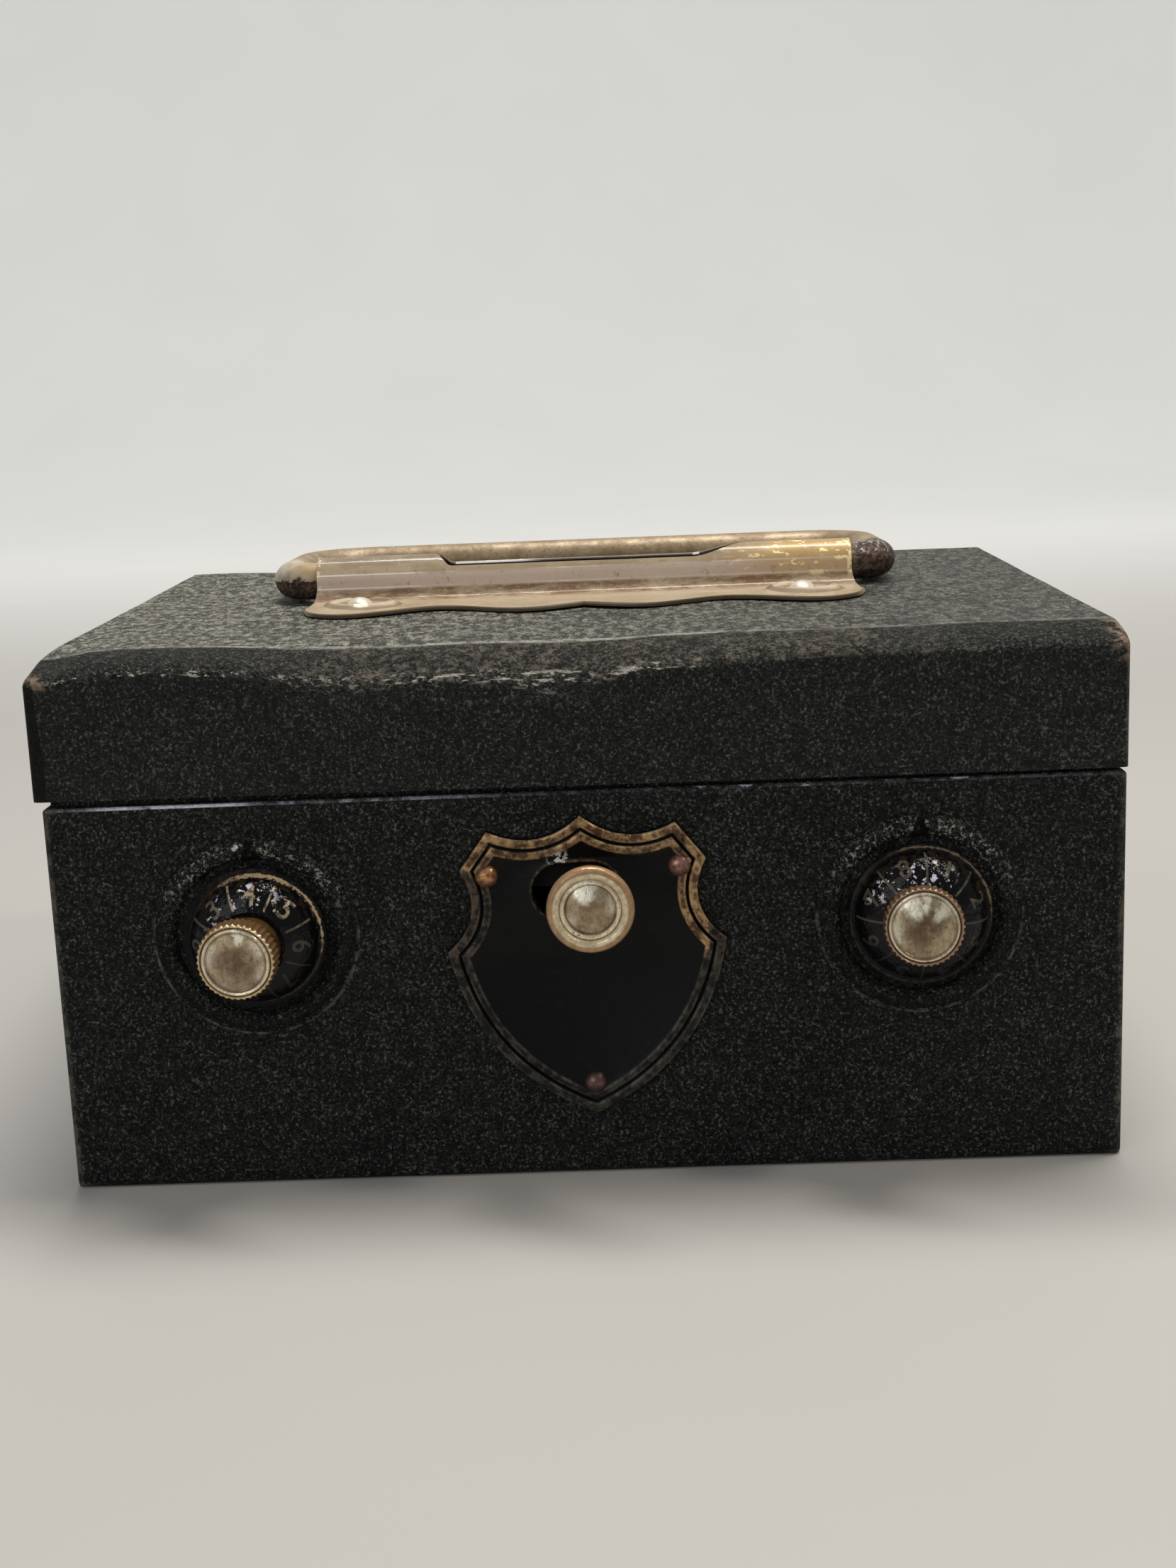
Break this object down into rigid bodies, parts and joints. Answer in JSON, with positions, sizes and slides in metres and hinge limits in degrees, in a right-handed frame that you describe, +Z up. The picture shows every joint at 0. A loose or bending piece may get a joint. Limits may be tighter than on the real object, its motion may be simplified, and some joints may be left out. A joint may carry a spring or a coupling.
{
  "type": "safe coin bank",
  "caption": "Black pressed-steel coin bank with a hinged lid, numbered front dials, a sliding latch knob in a shield and a drop handle over the coin slot.",
  "frame": {"origin": "centre of the underside, on the face the box stands on", "axes": "+Z up, -Y out of the front with the dials, +X to the right as seen from the front"},
  "size_m": [0.14, 0.123, 0.078],
  "materials": {
    "black_wrinkle_paint": "matte",
    "shield_lacquer": "gloss",
    "dial_enamel": "gloss",
    "knob_gilt": "satin",
    "knob_nickel": "satin",
    "old_brass": "satin",
    "copper_rivet": "satin",
    "bare_steel": "satin",
    "gold_lacquer": "satin",
    "handle_rod": "satin",
    "hinge_black": "matte"
  },
  "bodies": {
    "case": {"body_shell": "black_wrinkle_paint", "shield_plate": "shield_lacquer", "shield_rivets": "copper_rivet", "left_bush": "old_brass", "right_bush": "old_brass", "left_bar_guide": "bare_steel", "right_bar_guide": "bare_steel", "body_hinge_leaf": "hinge_black", "body_hinge_rivets": "hinge_black", "hinge_pin": "bare_steel"},
    "lid": {"lid_shell": "black_wrinkle_paint", "strike": "bare_steel", "handle_bracket": "gold_lacquer", "bracket_rivets": "gold_lacquer", "lid_hinge_leaf": "hinge_black", "lid_hinge_rivets": "hinge_black"},
    "handle": {"handle_bail": "handle_rod"},
    "left_dial": {"left_dial": "dial_enamel", "left_spindle": "old_brass", "left_knob_cap": "knob_gilt", "left_knob_face": "knob_nickel", "left_tumbler": "bare_steel", "left_clip": "bare_steel"},
    "right_dial": {"right_dial": "dial_enamel", "right_spindle": "old_brass", "right_knob_cap": "knob_gilt", "right_knob_face": "knob_nickel", "right_tumbler": "bare_steel", "right_clip": "bare_steel"},
    "latch": {"latch_knob": "knob_gilt", "latch_knob_face": "knob_nickel", "latch_stem": "old_brass", "slide_bar": "bare_steel"}
  },
  "joints": [
    {"name": "lid_hinge", "type": "hinge", "parent": "case", "child": "lid", "pos_m": [0, 0.056, 0.0527], "axis": [-1, 0, 0], "range_deg": [0, 105]},
    {"name": "handle_hinge", "type": "hinge", "parent": "lid", "child": "handle", "pos_m": [0, 0.003, 0.07448], "axis": [1, 0, 0], "range_deg": [0, 182]},
    {"name": "left_dial_turn", "type": "hinge", "parent": "case", "child": "left_dial", "pos_m": [-0.0432, -0.054, 0.0345], "axis": [0, -1, 0], "continuous": true},
    {"name": "right_dial_turn", "type": "hinge", "parent": "case", "child": "right_dial", "pos_m": [0.0432, -0.054, 0.0345], "axis": [0, -1, 0], "continuous": true},
    {"name": "latch_slide", "type": "slide", "parent": "case", "child": "latch", "axis": [-1, 0, 0], "range_m": [0, 0.0039]}
  ]
}
